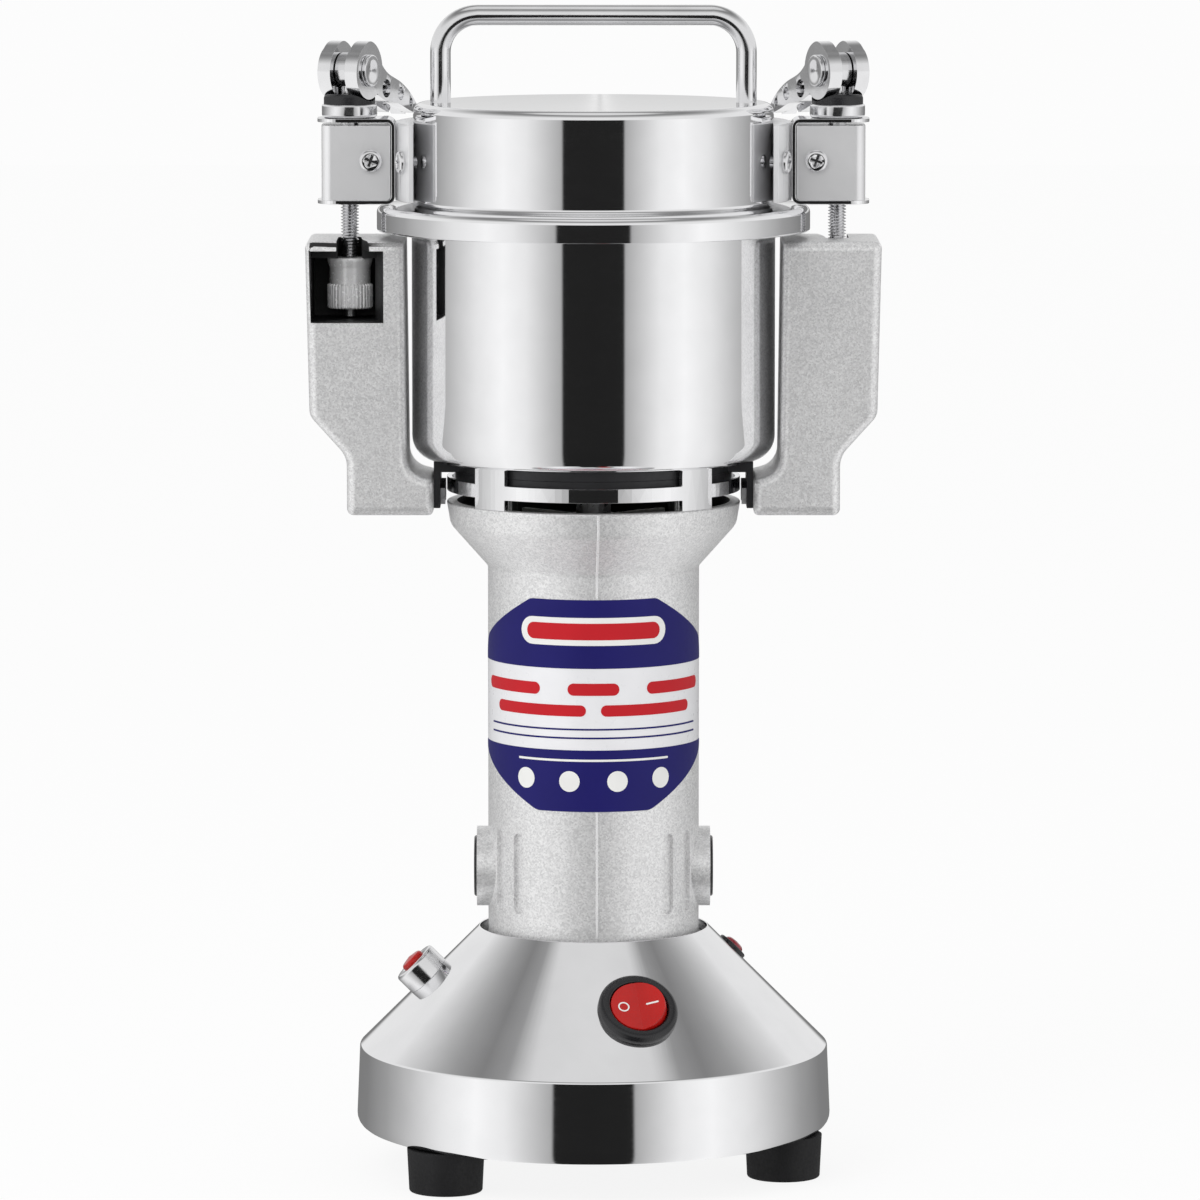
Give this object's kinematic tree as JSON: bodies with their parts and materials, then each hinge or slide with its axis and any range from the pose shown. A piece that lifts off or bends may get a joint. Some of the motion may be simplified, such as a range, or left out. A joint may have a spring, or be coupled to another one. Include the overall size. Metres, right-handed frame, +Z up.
{
  "type": "electric grain mill",
  "caption": "Upright electric grain mill: polished jar and turn-to-lock lid with cam clamps on a cast motor pedestal and a cone base with rocker switch and reset button.",
  "frame": {"origin": "on the floor under the middle of the base", "axes": "+Z up along the motor shaft, -Y to the front (switch), +X to the right of the front"},
  "size_m": [0.1318, 0.1122, 0.27],
  "materials": {
    "polished_steel": "mirror-polished stainless steel",
    "chrome_plate": "bright plated steel",
    "zinc_steel": "satin steel",
    "cast_alloy": "fine blasted casting",
    "black_steel": "black oxide steel",
    "black_rubber": "matte rubber",
    "black_plastic": "fine moulded plastic",
    "red_plastic": "gloss red plastic",
    "red_lens": "translucent red lens",
    "silicone": "food-grade silicone",
    "laminated_steel": "varnished laminations",
    "copper_wire": "enamelled copper wire",
    "brass": "plain brass",
    "carbon": "pressed carbon",
    "white_plastic": "moulded plastic"
  },
  "bodies": {
    "base": {"base_shell": "polished_steel", "base_plate": "zinc_steel", "rubber_feet": "black_rubber", "foot_screws": "zinc_steel", "base_pillars": "zinc_steel", "rocker_bezel": "black_plastic", "breaker_collar": "chrome_plate", "breaker_body": "black_plastic", "pilot_lamp_bezel": "black_plastic", "pilot_lamp_lens": "red_lens", "cord_gland": "black_rubber", "bearing_bracket": "cast_alloy", "housing_screws": "zinc_steel", "motor_housing": "cast_alloy", "lower_bearing": "zinc_steel", "upper_bearing": "zinc_steel", "stator_core": "laminated_steel", "field_coils": "copper_wire", "carbon_brushes": "carbon", "brush_holders": "brass", "brush_springs": "zinc_steel", "brush_caps": "black_plastic", "vent_ring": "polished_steel", "cross_plate": "black_steel", "ear_bolts": "zinc_steel", "ear_left": "cast_alloy", "ear_right": "cast_alloy", "jar": "polished_steel", "jar_screws": "zinc_steel", "shaft_seal": "black_rubber"},
    "rotor": {"motor_shaft": "zinc_steel", "armature_core": "laminated_steel", "armature_windings": "copper_wire", "commutator": "brass", "cooling_fan": "white_plastic", "blade_spacers": "zinc_steel", "lower_blade": "polished_steel", "upper_blade": "polished_steel", "blade_nut": "zinc_steel"},
    "lid": {"lid_shell": "polished_steel", "lid_gasket": "silicone", "handle": "chrome_plate", "handle_nuts": "zinc_steel", "lid_lugs": "polished_steel", "latch_brackets": "polished_steel", "guide_blocks": "polished_steel", "bracket_screws": "chrome_plate", "cup_washers": "chrome_plate", "cam_bushes": "black_plastic", "rod_left": "zinc_steel", "rod_right": "zinc_steel", "pivot_pin_left": "chrome_plate", "pivot_pin_right": "chrome_plate"},
    "rocker": {"rocker_button": "red_plastic"},
    "reset": {"reset_button": "red_plastic"},
    "lever_left": {"cam_lever_left": "chrome_plate"},
    "nut_left": {"knurled_nut_left": "chrome_plate"},
    "lever_right": {"cam_lever_right": "chrome_plate"},
    "nut_right": {"knurled_nut_right": "chrome_plate"}
  },
  "joints": [
    {"name": "rotor_spin", "type": "hinge", "parent": "base", "child": "rotor", "pos_m": [0, 0, 0.1], "axis": [0, 0, 1], "continuous": true},
    {"name": "lid_turn", "type": "hinge", "parent": "base", "child": "lid", "pos_m": [0, 0, 0.22], "axis": [0, 0, 1], "range_deg": [0, 150]},
    {"name": "rocker_tilt", "type": "hinge", "parent": "base", "child": "rocker", "pos_m": [0.01015, -0.03954, 0.04332], "axis": [-0.1758, 0.6849, 0.7071], "range_deg": [0, 20]},
    {"name": "reset_press", "type": "slide", "parent": "base", "child": "reset", "axis": [0.7067, 0.0247, -0.7071], "range_m": [0, 0.0015], "stiffness_N_per_m": 400},
    {"name": "lever_swing_left", "type": "hinge", "parent": "lid", "child": "lever_left", "pos_m": [-0.056, 0, 0.25495], "axis": [0.9026, -0.4305, 0], "range_deg": [0, 110]},
    {"name": "nut_turn_left", "type": "hinge", "parent": "lid", "child": "nut_left", "pos_m": [-0.056, 0, 0.206], "axis": [0, 0, 1], "continuous": true},
    {"name": "lever_swing_right", "type": "hinge", "parent": "lid", "child": "lever_right", "pos_m": [0.056, 0, 0.25495], "axis": [0.9026, 0.4305, 0], "range_deg": [0, 110]},
    {"name": "nut_turn_right", "type": "hinge", "parent": "lid", "child": "nut_right", "pos_m": [0.056, 0, 0.206], "axis": [0, 0, 1], "continuous": true}
  ]
}
